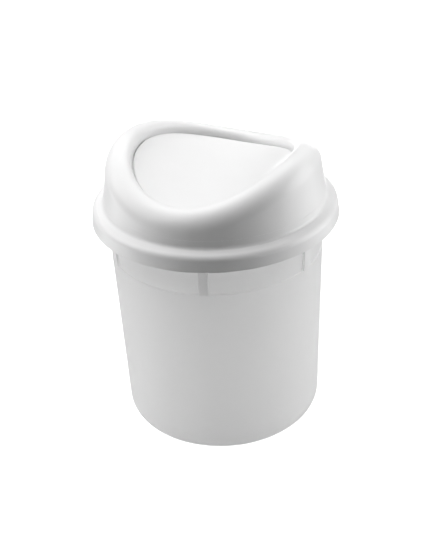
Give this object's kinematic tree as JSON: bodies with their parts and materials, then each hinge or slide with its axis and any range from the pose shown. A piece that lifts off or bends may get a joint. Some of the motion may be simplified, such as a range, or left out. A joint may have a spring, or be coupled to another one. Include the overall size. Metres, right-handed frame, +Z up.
{
  "type": "wastebasket",
  "caption": "Round swing-lid wastebasket: tapered frosted plastic body, glossy lift-off collar with a saddle-shaped crown, and a trough-shaped flap that swings both ways.",
  "frame": {"origin": "on the floor under the centre of the base, at the centre of the bounding box's bottom face", "axes": "+Z up, the body's axis; +X along the flap's pivot axis towards the right pivot pin; the flap tips to the front (-Y) and to the back (+Y)"},
  "size_m": [0.2402, 0.2402, 0.2947],
  "materials": {
    "frosted_body": "frosted translucent white polypropylene",
    "lid_plastic": "smooth white polypropylene, satin gloss",
    "flap_plastic": "smooth white polypropylene, satin gloss",
    "pin_plastic": "white acetal, as moulded"
  },
  "bodies": {
    "body": {"bin_body": "frosted_body"},
    "collar": {"lid_collar": "lid_plastic"},
    "flap": {"swing_flap": "flap_plastic", "pivot_pin_left": "pin_plastic", "pivot_pin_right": "pin_plastic"}
  },
  "joints": [
    {"name": "lid_lift", "type": "slide", "parent": "body", "child": "collar", "axis": [0, 0, 1], "range_m": [0, 0.15]},
    {"name": "flap_swing", "type": "hinge", "parent": "collar", "child": "flap", "pos_m": [0, 0, 0.272], "axis": [1, 0, 0], "range_deg": [-70, 70]}
  ]
}
